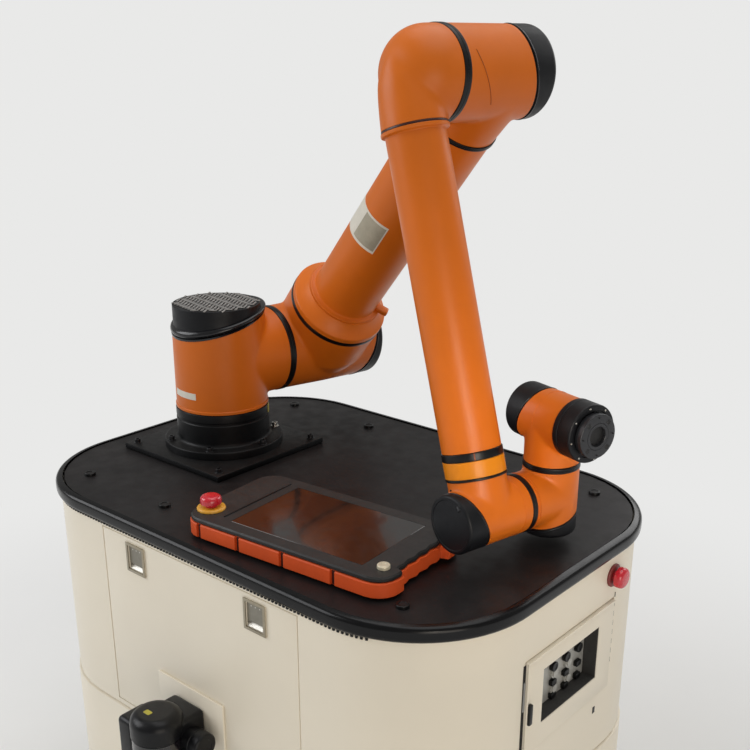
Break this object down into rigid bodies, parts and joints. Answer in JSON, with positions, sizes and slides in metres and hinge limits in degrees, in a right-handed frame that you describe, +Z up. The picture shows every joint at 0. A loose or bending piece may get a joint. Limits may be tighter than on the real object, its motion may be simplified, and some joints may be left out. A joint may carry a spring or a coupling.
{
  "type": "industrial robot arm",
  "caption": "Six-axis jointed robot arm bolted to the deck of a white rounded cabinet cart, with side scanners, latched doors, end stops and a teach pendant.",
  "frame": {"origin": "on the floor under the middle of the cart", "axes": "+Z up; +X along the cart to the end with the connector panel; +Y to the long side that the upper arm is offset to"},
  "size_m": [0.947, 0.8372, 1.424],
  "materials": {
    "white_paint": "satin",
    "dark_steel": "matte",
    "grey_plate": "satin",
    "black_plastic": "matte",
    "deck_paint": "matte",
    "bumper_rubber": "matte",
    "yellow_plastic": "matte",
    "bright_steel": "satin",
    "orange_paint": "satin",
    "flange_alloy": "satin",
    "red_plastic": "gloss"
  },
  "bodies": {
    "stand": {"cabinet_shell": "white_paint", "chassis_skirt": "white_paint", "foot_front_left": "dark_steel", "foot_front_right": "dark_steel", "foot_rear_left": "dark_steel", "foot_rear_right": "dark_steel", "door_left": "white_paint", "door_right": "white_paint", "connector_panel": "white_paint", "connector_plate": "grey_plate", "panel_pull": "black_plastic", "edge_trim": "black_plastic", "deck_plate": "deck_paint", "stop_collar_front": "dark_steel", "stop_collar_rear": "dark_steel", "scanner_bracket_left": "grey_plate", "scanner_bracket_right": "grey_plate", "scanner_left": "black_plastic", "scanner_right": "black_plastic", "mounting_plate": "dark_steel", "arm_base": "black_plastic", "pendant_case": "black_plastic", "pendant_bumper": "bumper_rubber", "pendant_stop_collar": "yellow_plastic", "pendant_key_switch": "bright_steel"},
    "shoulder": {"shoulder_housing": "orange_paint", "shoulder_cap": "black_plastic", "ring_j2": "black_plastic"},
    "upper_arm": {"upper_arm_housing": "orange_paint", "upper_arm_cap": "black_plastic", "upper_arm_tube": "orange_paint", "ring_elbow_neck": "black_plastic", "elbow_housing": "orange_paint", "elbow_cap": "black_plastic", "ring_j3": "black_plastic"},
    "forearm": {"forearm_bulb": "orange_paint", "forearm_tube": "orange_paint", "forearm_band": "black_plastic", "forearm_end_housing": "orange_paint", "forearm_end_cap": "black_plastic", "ring_j4": "black_plastic"},
    "wrist_1": {"wrist_1_housing": "orange_paint", "wrist_1_cap": "black_plastic", "ring_j5": "black_plastic"},
    "wrist_2": {"wrist_2_housing": "orange_paint", "wrist_2_cap": "black_plastic", "wrist_2_front": "black_plastic"},
    "flange": {"tool_flange": "flange_alloy"},
    "latch_left_a": {"latch_paddle_left_a": "bright_steel"},
    "latch_left_b": {"latch_paddle_left_b": "bright_steel"},
    "latch_right_a": {"latch_paddle_right_a": "bright_steel"},
    "latch_right_b": {"latch_paddle_right_b": "bright_steel"},
    "end_stop_front": {"stop_button_front": "red_plastic"},
    "end_stop_rear": {"stop_button_rear": "red_plastic"},
    "pendant_stop": {"pendant_stop_button": "red_plastic"}
  },
  "joints": [
    {"name": "j1_base_turn", "type": "hinge", "parent": "stand", "child": "shoulder", "pos_m": [-0.2749, -0.0004, 0.8015], "axis": [0, 0, 1], "range_deg": [0, 175]},
    {"name": "j2_shoulder_lift", "type": "hinge", "parent": "shoulder", "child": "upper_arm", "pos_m": [-0.23486, 0.19749, 0.8825], "axis": [-0.1983, -0.9801, 0], "range_deg": [0, 90]},
    {"name": "j3_elbow_bend", "type": "hinge", "parent": "upper_arm", "child": "forearm", "pos_m": [0.16887, -0.03827, 1.35865], "axis": [-0.1983, -0.9801, 0], "range_deg": [0, 150]},
    {"name": "j4_wrist_tilt", "type": "hinge", "parent": "forearm", "child": "wrist_1", "pos_m": [0.34297, -0.0735, 0.79183], "axis": [-0.1983, -0.9801, 0], "range_deg": [-60, 90]},
    {"name": "j5_wrist_turn", "type": "hinge", "parent": "wrist_1", "child": "wrist_2", "pos_m": [0.36886, 0.05441, 0.79183], "axis": [0, 0, 1], "range_deg": [-60, 175]},
    {"name": "j6_flange_spin", "type": "hinge", "parent": "wrist_2", "child": "flange", "pos_m": [0.4533, 0.02965, 0.90283], "axis": [0.9596, -0.2813, 0], "range_deg": [-175, 175]},
    {"name": "latch_left_a_pull", "type": "hinge", "parent": "stand", "child": "latch_left_a", "pos_m": [-0.133, -0.3078, 0.6728], "axis": [-1, 0, 0], "range_deg": [0, 40], "stiffness_Nm_per_rad": 0.02},
    {"name": "latch_left_b_pull", "type": "hinge", "parent": "stand", "child": "latch_left_b", "pos_m": [0.133, -0.3078, 0.6728], "axis": [-1, 0, 0], "range_deg": [0, 40], "stiffness_Nm_per_rad": 0.02},
    {"name": "latch_right_a_pull", "type": "hinge", "parent": "stand", "child": "latch_right_a", "pos_m": [0.133, 0.3078, 0.6728], "axis": [1, 0, 0], "range_deg": [0, 40], "stiffness_Nm_per_rad": 0.02},
    {"name": "latch_right_b_pull", "type": "hinge", "parent": "stand", "child": "latch_right_b", "pos_m": [-0.133, 0.3078, 0.6728], "axis": [1, 0, 0], "range_deg": [0, 40], "stiffness_Nm_per_rad": 0.02},
    {"name": "end_stop_front_push", "type": "slide", "parent": "stand", "child": "end_stop_front", "axis": [-1, 0, 0], "range_m": [0, 0.004], "stiffness_N_per_m": 400},
    {"name": "end_stop_rear_push", "type": "slide", "parent": "stand", "child": "end_stop_rear", "axis": [1, 0, 0], "range_m": [0, 0.004], "stiffness_N_per_m": 400},
    {"name": "pendant_stop_push", "type": "slide", "parent": "stand", "child": "pendant_stop", "axis": [0, 0, -1], "range_m": [0, 0.004], "stiffness_N_per_m": 400}
  ]
}
